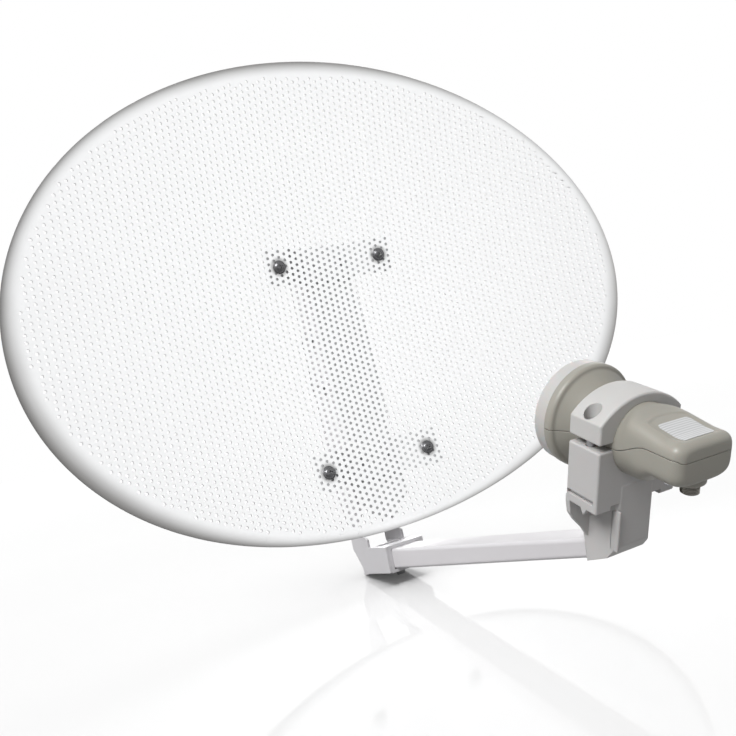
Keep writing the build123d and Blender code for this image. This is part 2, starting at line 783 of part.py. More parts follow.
def case_half(direction):
    """One shell of the case. direction is 1 for the upper shell and -1 for the lower."""
    gap = direction * 0.1
    far = direction * 60
    with BuildPart() as shell:
        add(case_form(0))
        add(case_form(shell_wall), mode=Mode.SUBTRACT)
        if direction > 0:
            for x in (-shell_screw_x, shell_screw_x):
                with BuildSketch(feed_top(x, shell_screw_s, 13.0)):
                    Circle(3.0)
                extrude(amount=-5.5)
        with BuildSketch(feed_side(60)):
            with BuildLine():
                Polyline(
                    (ring_start - 5, seam_start + gap),
                    (body_start, seam_start + gap),
                    (65, seam_end - 1 + gap),
                    (72, seam_end + gap),
                    (lnb_end + 5, seam_end + gap),
                    (lnb_end + 5, far),
                    (ring_start - 5, far),
                    close=True,
                )
            make_face()
        extrude(amount=120, mode=Mode.INTERSECT)
        for x in (-shell_screw_x, shell_screw_x):
            with BuildSketch(feed_top(x, shell_screw_s, -15)):
                Circle(1.5)
            extrude(amount=25, mode=Mode.SUBTRACT)
        if direction < 0:
            with BuildSketch(feed_top(0, connector_s, 0)):
                Circle(connector_r + hole_gap)
            extrude(amount=-20, mode=Mode.SUBTRACT)
    return shell.part


save(case_half(1), "upper_shell")
save(case_half(-1), "lower_shell")
screw_seats = [feed_top(x, shell_screw_s, -9.6) for x in (-shell_screw_x, shell_screw_x)]
shell_screw_seats = [Plane(origin=seat.origin, x_dir=(1, 0, 0), z_dir=-feed_up) for seat in screw_seats]
save(bolts(shell_screw_seats, 1.25, 18, 2.8, 2.4, False), "shell_screws")

# ---------------------------------------------------------------- inside the LNB
horn_start = 3.0
horn_r = 27.2
casting_r = 16.8
casting_end = 57.0
waveguide_end = 53.0
throat_s = 28.0
probe_x = 4.0
probe_start = 46.0
board_start = 61.0
board_h = 1.0
board_t = 1.6
with BuildPart() as horn_casting:
    with BuildSketch(feed_side(0)):
        with BuildLine():
            Polyline(
                (horn_start, horn_r - 1.6),
                (horn_start, horn_r),
                (13.5, horn_r),
                (23.5, casting_r),
                (casting_end, casting_r),
                (casting_end, 0),
                (waveguide_end, 0),
                (waveguide_end, waveguide_r),
                (throat_s, waveguide_r),
                close=True,
            )
        make_face()
    revolve(axis=feed_axis)
    with BuildSketch(feed_face(waveguide_end - 1)):
        with Locations((-probe_x, board_h + board_t / 2), (probe_x, board_h + board_t / 2)):
            Circle(1.2)
    extrude(amount=10, mode=Mode.SUBTRACT)
save(horn_casting.part, "horn_casting")

with BuildPart() as probes:
    with BuildSketch(feed_face(probe_start)):
        with Locations((-probe_x, board_h + board_t / 2), (probe_x, board_h + board_t / 2)):
            Circle(0.6)
    extrude(amount=board_start - probe_start)
save(probes.part, "probes")

board_end = 88.0
board_half_width = 10.5
with BuildPart() as circuit_board:
    with BuildSketch(feed_top(0, (board_start + board_end) / 2, board_h)):
        Rectangle(2 * board_half_width, board_end - board_start)
    extrude(amount=board_t)
save(circuit_board.part, "circuit_board")

with BuildPart() as shield_lid:
    with BuildSketch(feed_top(0, 74.5, board_h + board_t)):
        Rectangle(18, 23)
    extrude(amount=5)
    with BuildSketch(feed_top(0, 74.5, board_h + board_t)):
        Rectangle(16.4, 21.4)
    extrude(amount=4.2, mode=Mode.SUBTRACT)
save(shield_lid.part, "shield_lid")

# ---------------------------------------------------------------- connector, seals, label and feed cap
thread_end = -18.5
hex_bottom = -12.2
seal_t = 0.8
floor_h = -9.5
with BuildPart() as f_connector:
    with BuildSketch(feed_top(0, connector_s, board_h)):
        Circle(connector_r)
    extrude(amount=thread_end - board_h)
    with BuildSketch(feed_top(0, connector_s, floor_h - seal_t)):
        RegularPolygon(5.6, 6, major_radius=False)
    extrude(amount=hex_bottom - floor_h + seal_t)
    with BuildSketch(feed_top(0, connector_s, thread_end)):
        Circle(3.0)
    extrude(amount=8, mode=Mode.SUBTRACT)
save(f_connector.part, "f_connector")

with BuildPart() as connector_core:
    with BuildSketch(feed_top(0, connector_s, thread_end + 0.6)):
        Circle(2.95)
        Circle(0.6, mode=Mode.SUBTRACT)
    extrude(amount=7.4)
save(connector_core.part, "connector_core")
seal_plane = feed_top(0, connector_s, floor_h - 0.02)
save(rings([seal_plane], connector_r + 0.02, 6.4, 0.02 - seal_t, False), "connector_seal")

with BuildPart() as cap_seal:
    with BuildSketch(feed_side(0)):
        with Locations((6, (horn_r + 28.6) / 2)):
            Circle(0.65)
    revolve(axis=feed_axis)
save(cap_seal.part, "cap_seal")

label_t = 0.3
label_h = 14.42
label_rise = 16.4
with BuildPart() as lnb_label:
    with BuildSketch(feed_side(11)):
        with BuildLine():
            Polyline(
                (69, label_rise),
                (80, label_h),
                (86, label_h),
                (86, label_h + label_t),
                (80, label_h + label_t),
                (69, label_rise + label_t),
                close=True,
            )
        make_face()
    extrude(amount=22)
save(lnb_label.part, "lnb_label")

cap_edge_r = 2.5
cap_wall = 1.4
cap_skirt = 9.8
with BuildPart() as feed_cap:
    with BuildSketch(feed_side(0)):
        with BuildLine():
            Line((0, 0), (0, cap_r - cap_edge_r))
            RadiusArc((0, cap_r - cap_edge_r), (cap_edge_r, cap_r), cap_edge_r)
            Polyline(
                (cap_edge_r, cap_r),
                (cap_skirt, cap_r),
                (cap_skirt, cap_r - cap_wall),
                (2 * cap_wall, cap_r - cap_wall),
                (cap_wall, cap_r - cap_wall - 2),
                (cap_wall, 0),
                (0, 0),
            )
        make_face()
    revolve(axis=feed_axis)
save(feed_cap.part, "feed_cap")
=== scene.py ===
import bpy
from math import asin, atan, atan2, cos, hypot, pi, radians, sin, sqrt
from mathutils import Matrix, Vector


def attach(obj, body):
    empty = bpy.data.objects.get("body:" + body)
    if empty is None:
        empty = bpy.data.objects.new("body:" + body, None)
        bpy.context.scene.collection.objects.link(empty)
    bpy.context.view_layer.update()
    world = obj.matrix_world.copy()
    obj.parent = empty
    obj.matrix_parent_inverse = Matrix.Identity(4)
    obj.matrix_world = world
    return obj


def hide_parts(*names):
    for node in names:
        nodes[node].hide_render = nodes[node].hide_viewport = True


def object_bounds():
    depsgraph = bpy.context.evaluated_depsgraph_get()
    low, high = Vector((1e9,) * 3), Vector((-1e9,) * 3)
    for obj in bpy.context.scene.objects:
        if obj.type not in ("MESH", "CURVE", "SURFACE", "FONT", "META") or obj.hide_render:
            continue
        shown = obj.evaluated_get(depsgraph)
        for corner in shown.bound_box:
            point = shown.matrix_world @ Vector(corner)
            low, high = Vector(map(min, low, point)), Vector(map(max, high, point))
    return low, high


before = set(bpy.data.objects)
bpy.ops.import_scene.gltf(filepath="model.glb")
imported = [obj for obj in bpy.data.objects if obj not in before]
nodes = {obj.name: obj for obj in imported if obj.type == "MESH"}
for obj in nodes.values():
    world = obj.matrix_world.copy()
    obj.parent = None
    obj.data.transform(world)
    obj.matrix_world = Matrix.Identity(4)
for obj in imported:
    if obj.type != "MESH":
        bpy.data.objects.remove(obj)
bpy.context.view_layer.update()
print("frame loaded,", len(nodes), "nodes")

scene = bpy.context.scene
scene.view_settings.view_transform = "Standard"


# small helpers

def selectOnly(piece):
    bpy.ops.object.select_all(action="DESELECT")
    piece.select_set(True)
    bpy.context.view_layer.objects.active = piece


def newPiece(name):
    piece = bpy.context.active_object
    piece.name = name
    piece.data.name = name
    return piece


def editSelect(piece, mode, wanted):
    # selects verts, edges or faces of the active mesh by a test on each one
    bpy.ops.object.mode_set(mode="OBJECT")
    mesh = piece.data
    for part in list(mesh.vertices) + list(mesh.edges) + list(mesh.polygons):
        part.select = False
    parts = {"VERT": mesh.vertices, "EDGE": mesh.edges, "FACE": mesh.polygons}[mode]
    for part in parts:
        part.select = bool(wanted(part))
    bpy.ops.object.mode_set(mode="EDIT")
    bpy.ops.mesh.select_mode(type=mode)


def applyAll(piece):
    selectOnly(piece)
    for modifier in list(piece.modifiers):
        bpy.ops.object.modifier_apply(modifier=modifier.name)


def bakePlace(piece):
    selectOnly(piece)
    bpy.ops.object.transform_apply(location=True, rotation=True, scale=True)


def moveInEdit(piece, offset):
    selectOnly(piece)
    editSelect(piece, "VERT", lambda vertex: True)
    bpy.ops.transform.translate(value=offset)
    bpy.ops.object.mode_set(mode="OBJECT")


def closeSurface(piece, weld=0.0):
    # welds what touches, where a distance is given, and turns all faces the same way
    editSelect(piece, "FACE", lambda face: True)
    if weld:
        bpy.ops.mesh.remove_doubles(threshold=weld)
    bpy.ops.mesh.normals_make_consistent(inside=False)
    bpy.ops.object.mode_set(mode="OBJECT")


def flipFaces(piece):
    editSelect(piece, "FACE", lambda face: True)
    bpy.ops.mesh.flip_normals()
    bpy.ops.object.mode_set(mode="OBJECT")


def addWall(piece, name, thickness, offset):
    wall = piece.modifiers.new(name, "SOLIDIFY")
    wall.thickness = thickness
    wall.offset = offset
    applyAll(piece)


def joinPieces(first, others):
    # everything becomes part of the first piece
    selectOnly(first)
    for piece in others:
        piece.select_set(True)
    bpy.ops.object.join()


def finishPiece(piece, material, body, replaced=(), angle=35):
    selectOnly(piece)
    bpy.ops.object.shade_smooth_by_angle(angle=radians(angle))
    piece.data.materials.clear()
    piece.data.materials.append(material)
    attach(piece, body)
    if replaced:
        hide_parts(*replaced)
    print("piece", piece.name, len(piece.data.polygons), "faces")


# frames that the pieces are laid out in, all in metres

dish = {
    "centre": Vector((0, -0.050, 0.050)),
    "halfWidth": 0.285,
    "halfHeight": 0.2159,
    "focalLength": 0.2786,
    "vertexOffset": 0.2225,
    "rimSag": 0.0108,
    "sheet": 0.0012,
    "rimDepth": 0.013,
    "rimRadius": 0.006,
    "boltX": 0.0507,
    "boltRows": (0.038, -0.1502),
}
beamTilt = atan(dish["vertexOffset"] / (2 * dish["focalLength"]))

feed = {"origin": Vector((0, -0.3419, -0.0672)), "tilt": radians(21.1)}
feedDir = Vector((0, -cos(feed["tilt"]), -sin(feed["tilt"])))
feedUp = Vector((0, -sin(feed["tilt"]), cos(feed["tilt"])))


def feedPoint(x, s, h):
    return feed["origin"] + Vector((x, 0, 0)) + feedDir * s + feedUp * h


def placeInFeed(piece, place, turn=0.0):
    # stands a piece, made upright at the origin, square to the feed's axis
    piece.matrix_world = Matrix.Translation(place) @ Matrix.Rotation(feed["tilt"] + turn, 4, "X")
    bakePlace(piece)


def surfaceDepth(x, z):
    # depth of the reflector's front, for a place across the dish
    focal, offset = dish["focalLength"], dish["vertexOffset"]
    tiltSin, tiltCos = sin(beamTilt), cos(beamTilt)
    bend = tiltSin / (4 * focal)
    rest = (x * x - offset ** 2) * bend - offset * tiltCos - z
    along = (-tiltCos + sqrt(tiltCos ** 2 - 4 * bend * rest)) / (2 * bend)
    rise = (x * x + along * along - offset ** 2) / (4 * focal)
    return (along - offset) * tiltSin - rise * tiltCos


def surfaceNormal(x, z):
    step = 0.0005  # half the span that the slope is measured over
    across = (surfaceDepth(x + step, z) - surfaceDepth(x - step, z)) / (2 * step)
    up = (surfaceDepth(x, z + step) - surfaceDepth(x, z - step)) / (2 * step)
    return Vector((across, -1, up)).normalized()


# material groups, built once

def newGroup(name, inputs, outputs):
    group = bpy.data.node_groups.new(name, "ShaderNodeTree")
    for label, kind, value in inputs:
        socket = group.interface.new_socket(name=label, in_out="INPUT", socket_type=kind)
        socket.default_value = value
    for label, kind in outputs:
        group.interface.new_socket(name=label, in_out="OUTPUT", socket_type=kind)
    start = group.nodes.new("NodeGroupInput")
    end = group.nodes.new("NodeGroupOutput")
    return group, start, end


def addNode(tree, kind, **values):
    node = tree.nodes.new(kind)
    for key, value in values.items():
        if key.startswith("in_"):
            label = key[3:].replace("_", " ")
            node.inputs[label].default_value = value
        else:
            setattr(node, key, value)
    return node


def addMath(tree, operation, first, second=0.5):
    node = tree.nodes.new("ShaderNodeMath")
    node.operation = operation
    for index, value in enumerate((first, second)):
        if hasattr(value, "is_output"):
            tree.links.new(value, node.inputs[index])
        else:
            node.inputs[index].default_value = value
    return node.outputs[0]


def addBlend(tree, factor, under, over):
    # a plain colour laid over another one, as strongly as factor says
    blend = addNode(tree, "ShaderNodeMix", data_type="RGBA")
    underSocket, overSocket = blend.inputs[6], blend.inputs[7]
    tree.links.new(factor, blend.inputs["Factor"])
    tree.links.new(under, underSocket)
    overSocket.default_value = (*over, 1)
    return blend.outputs[2]


def addDistance(tree, across, up):
    # how far out a place is, from its two offsets
    acrossSquared = addMath(tree, "MULTIPLY", across, across)
    upSquared = addMath(tree, "MULTIPLY", up, up)
    return addMath(tree, "SQRT", addMath(tree, "ADD", acrossSquared, upSquared))


def makeGrainGroup():
    # fine moulded or coated grain: colour drift, roughness drift and a height
    group, start, end = newGroup(
        "surfaceGrain",
        [("Color", "NodeSocketColor", (0.5, 0.5, 0.5, 1)), ("Drift", "NodeSocketFloat", 0.06),
         ("Grain Scale", "NodeSocketFloat", 900.0), ("Cloud Scale", "NodeSocketFloat", 18.0),
         ("Roughness", "NodeSocketFloat", 0.45), ("Roughness Drift", "NodeSocketFloat", 0.12)],
        [("Color", "NodeSocketColor"), ("Roughness", "NodeSocketFloat"), ("Height", "NodeSocketFloat")],
    )
    place = addNode(group, "ShaderNodeTexCoord")
    grain = addNode(group, "ShaderNodeTexNoise", in_Detail=3.0, in_Roughness=0.6)
    cloud = addNode(group, "ShaderNodeTexNoise", in_Detail=4.0, in_Roughness=0.55)
    for noise, label in ((grain, "Grain Scale"), (cloud, "Cloud Scale")):
        group.links.new(place.outputs["Object"], noise.inputs["Vector"])
        group.links.new(start.outputs[label], noise.inputs["Scale"])
    centred = addMath(group, "SUBTRACT", cloud.outputs["Fac"], 0.5)
    speck = addMath(group, "SUBTRACT", grain.outputs["Fac"], 0.5)
    both = addMath(group, "ADD", centred, addMath(group, "MULTIPLY", speck, 0.35))
    drift = addMath(group, "ADD", addMath(group, "MULTIPLY", both, start.outputs["Drift"]), 1.0)
    tone = addNode(group, "ShaderNodeVectorMath", operation="SCALE")
    group.links.new(start.outputs["Color"], tone.inputs[0])
    group.links.new(drift, tone.inputs["Scale"])
    group.links.new(tone.outputs["Vector"], end.inputs["Color"])
    rough = addMath(group, "MULTIPLY", both, start.outputs["Roughness Drift"])
    group.links.new(addMath(group, "ADD", rough, start.outputs["Roughness"]), end.inputs["Roughness"])
    group.links.new(grain.outputs["Fac"], end.inputs["Height"])
    return group


def makeEdgeGroup():
    # 1 near a sharp edge, broken up by noise, and 0 on the flat; the materials lay painted edge highlights
    # with it
    group, start, end = newGroup(
        "edgeMask",
        [("Width", "NodeSocketFloat", 0.0008), ("Breakup Scale", "NodeSocketFloat", 160.0),
         ("Strength", "NodeSocketFloat", 1.0)],
        [("Mask", "NodeSocketFloat"), ("Normal", "NodeSocketVector")],
    )
    bevel = addNode(group, "ShaderNodeBevel", samples=4)
    group.links.new(start.outputs["Width"], bevel.inputs["Radius"])
    geometry = addNode(group, "ShaderNodeNewGeometry")
    dot = addNode(group, "ShaderNodeVectorMath", operation="DOT_PRODUCT")
    group.links.new(bevel.outputs["Normal"], dot.inputs[0])
    group.links.new(geometry.outputs["Normal"], dot.inputs[1])
    bend = addMath(group, "MULTIPLY", addMath(group, "SUBTRACT", 1.0, dot.outputs["Value"]), 5.0)
    place = addNode(group, "ShaderNodeTexCoord")
    noise = addNode(group, "ShaderNodeTexNoise", in_Detail=3.0)
    group.links.new(place.outputs["Object"], noise.inputs["Vector"])
    group.links.new(start.outputs["Breakup Scale"], noise.inputs["Scale"])
    broken = addMath(group, "MULTIPLY", bend, addMath(group, "ADD", noise.outputs["Fac"], 0.2))
    strong = addNode(group, "ShaderNodeMath", operation="MULTIPLY", use_clamp=True)
    group.links.new(broken, strong.inputs[0])
    group.links.new(start.outputs["Strength"], strong.inputs[1])
    group.links.new(strong.outputs[0], end.inputs["Mask"])
    group.links.new(bevel.outputs["Normal"], end.inputs["Normal"])
    return group


grainGroup = makeGrainGroup()
edgeGroup = makeEdgeGroup()


def makeMaterial(name, look):
    material = bpy.data.materials.new(name)
    material.use_nodes = True
    tree = material.node_tree
    shader = tree.nodes["Principled BSDF"]
    grain = addNode(tree, "ShaderNodeGroup", node_tree=grainGroup)
    grain.inputs["Color"].default_value = (*look["color"], 1)
    for label, key in (("Drift", "drift"), ("Grain Scale", "grain"), ("Cloud Scale", "cloud"),
                       ("Roughness", "roughness"), ("Roughness Drift", "roughDrift")):
        if key in look:
            grain.inputs[label].default_value = look[key]
    bump = addNode(tree, "ShaderNodeBump")
    bump.inputs["Strength"].default_value = look.get("bump", 0.15)
    bump.inputs["Distance"].default_value = look.get("depth", 0.0002)
    tree.links.new(grain.outputs["Height"], bump.inputs["Height"])
    color = grain.outputs["Color"]
    # painted highlight: edgeColor is blended in along sharp edges, lighter than the base colour on most looks
    # and darker on the bracket
    if look.get("edge"):
        edge = addNode(tree, "ShaderNodeGroup", node_tree=edgeGroup)
        edge.inputs["Width"].default_value = look.get("edgeWidth", 0.0008)
        edge.inputs["Strength"].default_value = look["edge"]
        color = addBlend(tree, edge.outputs["Mask"], color, look["edgeColor"])
        tree.links.new(edge.outputs["Normal"], bump.inputs["Normal"])
    tree.links.new(color, shader.inputs["Base Color"])
    tree.links.new(grain.outputs["Roughness"], shader.inputs["Roughness"])
    tree.links.new(bump.outputs["Normal"], shader.inputs["Normal"])
    shader.inputs["Metallic"].default_value = look.get("metal", 0.0)
    shader.inputs["Coat Weight"].default_value = look.get("coat", 0.0)
    shader.inputs["Coat Roughness"].default_value = look.get("coatRough", 0.2)
    shader.inputs["Subsurface Weight"].default_value = look.get("glow", 0.0)
    shader.inputs["Subsurface Scale"].default_value = 0.004
    shader.inputs["Specular IOR Level"].default_value = look.get("shine", 0.5)
    return material


looks = {
    "reflector": {"color": (0.83, 0.835, 0.84), "drift": 0.04, "grain": 700.0, "cloud": 9.0,
                  "roughness": 0.55, "roughDrift": 0.15, "bump": 0.12, "shine": 0.12},
    "bracket": {"color": (0.50, 0.505, 0.51), "drift": 0.08, "grain": 800.0, "cloud": 25.0,
                "roughness": 0.5, "edge": 0.5, "edgeColor": (0.4, 0.4, 0.4)},
    "foot": {"color": (0.55, 0.54, 0.555), "drift": 0.10, "grain": 900.0, "cloud": 30.0,
             "roughness": 0.42, "edge": 0.35, "edgeColor": (0.62, 0.61, 0.63)},
    "arm": {"color": (0.57, 0.555, 0.57), "drift": 0.08, "grain": 800.0, "cloud": 22.0,
            "roughness": 0.40, "edge": 0.35, "edgeColor": (0.68, 0.67, 0.69), "coat": 0.08},
    "holder": {"color": (0.45, 0.44, 0.435), "drift": 0.09, "grain": 1100.0, "cloud": 30.0,
               "roughness": 0.5, "edge": 0.4, "edgeColor": (0.62, 0.61, 0.60), "glow": 0.05},
    "clamp": {"color": (0.485, 0.478, 0.468), "drift": 0.08, "grain": 1100.0, "cloud": 30.0,
              "roughness": 0.48, "edge": 0.4, "edgeColor": (0.62, 0.61, 0.59), "glow": 0.05},
    "lnbCase": {"color": (0.30, 0.288, 0.252), "drift": 0.08, "grain": 1300.0, "cloud": 28.0,
                "roughness": 0.40, "edge": 0.2, "edgeColor": (0.40, 0.38, 0.34), "glow": 0.04},
    "feedCap": {"color": (0.48, 0.465, 0.455), "drift": 0.06, "grain": 600.0, "cloud": 20.0,
                "roughness": 0.36, "bump": 0.05, "glow": 0.3},
    "zinc": {"color": (0.40, 0.40, 0.41), "drift": 0.25, "grain": 1600.0, "cloud": 120.0, "roughness": 0.3,
             "roughDrift": 0.3, "metal": 1.0, "edge": 0.6, "edgeColor": (0.7, 0.7, 0.7)},
    # painted highlight: the strong light edge colour paints glints on the dark bolt heads
    "darkBolt": {"color": (0.13, 0.13, 0.135), "drift": 0.5, "grain": 1500.0, "cloud": 260.0,
                 "roughness": 0.28, "roughDrift": 0.3, "metal": 0.9, "edge": 0.9,
                 "edgeColor": (0.55, 0.55, 0.55), "edgeWidth": 0.0004},
    "nickel": {"color": (0.27, 0.26, 0.235), "drift": 0.2, "grain": 1800.0, "cloud": 150.0, "roughness": 0.22,
               "roughDrift": 0.2, "metal": 1.0, "edge": 0.4, "edgeColor": (0.6, 0.58, 0.54),
               "edgeWidth": 0.0003},
    "casting": {"color": (0.42, 0.42, 0.42), "drift": 0.2, "grain": 700.0, "cloud": 90.0,
                "roughness": 0.45, "roughDrift": 0.3, "metal": 1.0, "bump": 0.4},
    "brass": {"color": (0.65, 0.47, 0.2), "drift": 0.15, "grain": 1500.0, "cloud": 150.0,
              "roughness": 0.28, "metal": 1.0},
    "board": {"color": (0.03, 0.16, 0.07), "drift": 0.3, "grain": 500.0, "cloud": 150.0,
              "roughness": 0.35, "coat": 0.4},
    "insulator": {"color": (0.75, 0.75, 0.72), "drift": 0.06, "grain": 900.0, "cloud": 80.0,
                  "roughness": 0.5, "glow": 0.2},
    "rubber": {"color": (0.02, 0.02, 0.02), "drift": 0.3, "grain": 1200.0, "cloud": 90.0,
               "roughness": 0.75, "bump": 0.3},
}
materials = {name: makeMaterial(name, look) for name, look in looks.items()}
print("materials made,", len(materials))


def layColor(material, factor, color):
    # goes over whatever feeds the material's colour so far
    tree = material.node_tree
    base = tree.nodes["Principled BSDF"].inputs["Base Color"]
    tree.links.new(addBlend(tree, factor, base.links[0].from_socket, color), base)


def objectAxes(tree):
    place = addNode(tree, "ShaderNodeTexCoord")
    axes = addNode(tree, "ShaderNodeSeparateXYZ")
    tree.links.new(place.outputs["Object"], axes.inputs["Vector"])
    return place, axes


def makeLabelMaterial():
    # blank silvery film with grey ruled lines and no lettering
    material = makeMaterial("labelFilm", {"color": (0.56, 0.565, 0.57), "drift": 0.08, "grain": 1400.0,
                                          "cloud": 60.0, "roughness": 0.3, "coat": 0.3, "bump": 0.05})
    tree = material.node_tree
    place = addNode(tree, "ShaderNodeTexCoord")
    lines = addNode(tree, "ShaderNodeTexWave", wave_type="BANDS", bands_direction="Y", in_Scale=230.0)
    tree.links.new(place.outputs["Object"], lines.inputs["Vector"])
    ramp = addNode(tree, "ShaderNodeValToRGB")
    ramp.color_ramp.elements[0].position = 0.62
    ramp.color_ramp.elements[0].color = (0, 0, 0, 1)
    ramp.color_ramp.elements[1].position = 0.78
    ramp.color_ramp.elements[1].color = (0.5, 0.5, 0.5, 1)
    tree.links.new(lines.outputs["Fac"], ramp.inputs["Fac"])
    layColor(material, ramp.outputs["Color"], (0.25, 0.25, 0.26))
    return material


materials["labelFilm"] = makeLabelMaterial()


# painted shade that greys the reflector towards its rolled edge
paintedRimShade = {"start": 0.945, "end": 1.006, "wander": 0.012, "cloud": 14.0, "color": (0.27, 0.265, 0.26)}
# painted shade in a soft grey ring round each bolt head on the reflector
boltShadeRing = {"inner": 0.0055, "outer": 0.0105, "strength": 0.75, "color": (0.16, 0.16, 0.158)}


def paintRimShade(material):
    # painted shade: the coat is painted darker and greyer towards the rolled edge, more so the nearer it gets
    tree = material.node_tree
    place, axes = objectAxes(tree)
    across = addMath(tree, "DIVIDE", axes.outputs["X"], dish["halfWidth"])
    raised = addMath(tree, "SUBTRACT", axes.outputs["Z"], dish["centre"].z)
    up = addMath(tree, "DIVIDE", raised, dish["halfHeight"])
    cloud = addNode(tree, "ShaderNodeTexNoise", in_Scale=paintedRimShade["cloud"], in_Detail=3.0)
    tree.links.new(place.outputs["Object"], cloud.inputs["Vector"])
    centred = addMath(tree, "SUBTRACT", cloud.outputs["Fac"], 0.5)
    wander = addMath(tree, "MULTIPLY", centred, paintedRimShade["wander"])
    band = addNode(tree, "ShaderNodeMapRange", interpolation_type="SMOOTHSTEP")
    band.inputs["From Min"].default_value = paintedRimShade["start"]
    band.inputs["From Max"].default_value = paintedRimShade["end"]
    tree.links.new(addMath(tree, "ADD", addDistance(tree, across, up), wander), band.inputs["Value"])
    layColor(material, band.outputs["Result"], paintedRimShade["color"])


def paintBoltShadeRings(material):
    # painted shade: a soft grey ring painted round each bolt that goes through the dish
    tree = material.node_tree
    axes = objectAxes(tree)[1]
    across = addMath(tree, "SUBTRACT", addMath(tree, "ABSOLUTE", axes.outputs["X"]), dish["boltX"])
    reaches = []
    for row in dish["boltRows"]:
        up = addMath(tree, "SUBTRACT", axes.outputs["Z"], dish["centre"].z + row)
        reaches.append(addDistance(tree, across, up))
    ring = addNode(tree, "ShaderNodeMapRange", interpolation_type="SMOOTHSTEP")
    ring.inputs["From Min"].default_value = boltShadeRing["outer"]
    ring.inputs["From Max"].default_value = boltShadeRing["inner"]
    ring.inputs["To Max"].default_value = boltShadeRing["strength"]
    tree.links.new(addMath(tree, "MINIMUM", reaches[0], reaches[1]), ring.inputs["Value"])
    layColor(material, ring.outputs["Result"], boltShadeRing["color"])


paintBoltShadeRings(materials["reflector"])
paintRimShade(materials["reflector"])

nodeLooks = {
    "bracket": ["stem_web", "upper_crossbar", "lower_crossbar"],
    "foot": ["cheek_left", "cheek_right", "arm_socket", "arm_end_plug"],
    "arm": ["arm"],
    "holder": ["lnb_holder"],
    "clamp": ["clamp_cap"],
    "lnbCase": ["upper_shell", "lower_shell"],
    "feedCap": ["feed_cap"],
    "darkBolt": ["dish_bolts"],
    "nickel": ["f_connector"],
    "casting": ["horn_casting"],
    "brass": ["probes"],
    "board": ["circuit_board"],
    "insulator": ["connector_core"],
    "rubber": ["connector_seal", "cap_seal"],
    "labelFilm": ["lnb_label"],
    "reflector": ["reflector"],
}
for node in nodes:
    look = next((name for name, members in nodeLooks.items() if node in members), "zinc")
    nodes[node].data.materials.clear()
    nodes[node].data.materials.append(materials[look])
print("nodes finished")


# perforated reflector

perforated = {
    "pitch": 0.0055,
    "holeRadius": 0.0015,
    "holeSides": 6,
    "holedHalfWidth": 0.2715,
    "holedHalfHeight": 0.2030,
    "rimSegments": 240,
    "rollSteps": 6,
    "weld": 0.00005,
}


def rimCutter():
    # the tilted oval cylinder that trims the dish: its middle, its in-plane up, its axis and half height
    height, sag = dish["halfHeight"], dish["rimSag"]
    middle = (surfaceDepth(0, height) + surfaceDepth(0, -height)) / 2
    tilt = atan(sag / (middle - surfaceDepth(dish["halfWidth"], -sag)))
    lean = surfaceDepth(0, height) - middle
    cutHalf = height * cos(tilt) - lean * sin(tilt)
    axis = Vector((0, -cos(tilt), -sin(tilt)))
    up = Vector((0, -sin(tilt), cos(tilt)))
    return Vector((0, middle, 0)), up, axis, cutHalf


cutMiddle, cutUp, cutAxis, cutHalfHeight = rimCutter()


def makeCell():
    # one plain square with a six-sided hole, filled between the two outlines
    pitch = perforated["pitch"]
    bpy.ops.mesh.primitive_plane_add(size=pitch, location=(0, 0, 0))
    cell = newPiece("perforatedReflector")
    bpy.ops.object.mode_set(mode="EDIT")
    bpy.ops.mesh.select_all(action="SELECT")
    bpy.ops.mesh.delete(type="ONLY_FACE")
    bpy.ops.mesh.primitive_circle_add(vertices=perforated["holeSides"], radius=perforated["holeRadius"],
                                      fill_type="NOTHING")
    bpy.ops.mesh.select_all(action="SELECT")
    bpy.ops.mesh.fill(use_beauty=True)
    corners = pitch * 0.4  # past the hole, short of the square's corners
    for side in (-1, 1):
        editSelect(cell, "VERT", lambda vertex: vertex.co.x * side > corners)
        bpy.ops.transform.translate(value=(0, side * pitch / 4, 0))
    # the next column sits half a pitch up, so the holes come out staggered
    bpy.ops.mesh.select_all(action="SELECT")
    bpy.ops.mesh.duplicate()
    bpy.ops.transform.translate(value=(pitch, pitch / 2, 0))
    bpy.ops.object.mode_set(mode="OBJECT")
    return cell


def repeatCells(sheet):
    # a block of cells centred on the dish
    pitch = perforated["pitch"]
    columns = int(dish["halfWidth"] / pitch / 2) + 2
    rows = int(dish["halfHeight"] / pitch) + 2
    moveInEdit(sheet, (-2 * columns * pitch, -rows * pitch, 0))
    for offset, count in (((2 * pitch, 0, 0), 2 * columns + 1), ((0, pitch, 0), 2 * rows + 1)):
        array = sheet.modifiers.new("cells", "ARRAY")
        array.use_relative_offset = False
        array.use_constant_offset = True
        array.constant_offset_displace = offset
        array.count = count
    applyAll(sheet)


def trimCells(sheet):
    # cells whose middle falls in the plain border are left out
    faces = sheet.data.polygons
    perCell = 4 + perforated["holeSides"]  # triangles that fill a square round its hole
    outside = set()
    for first in range(0, len(faces), perCell):
        middle = sum((faces[first + k].center for k in range(perCell)), Vector()) / perCell
        reach = hypot(middle.x / perforated["holedHalfWidth"], middle.y / perforated["holedHalfHeight"])
        if reach > 1:
            outside.update(range(first, first + perCell))
    editSelect(sheet, "FACE", lambda face: face.index in outside)
    bpy.ops.mesh.delete(type="FACE")
    closeSurface(sheet, perforated["weld"])


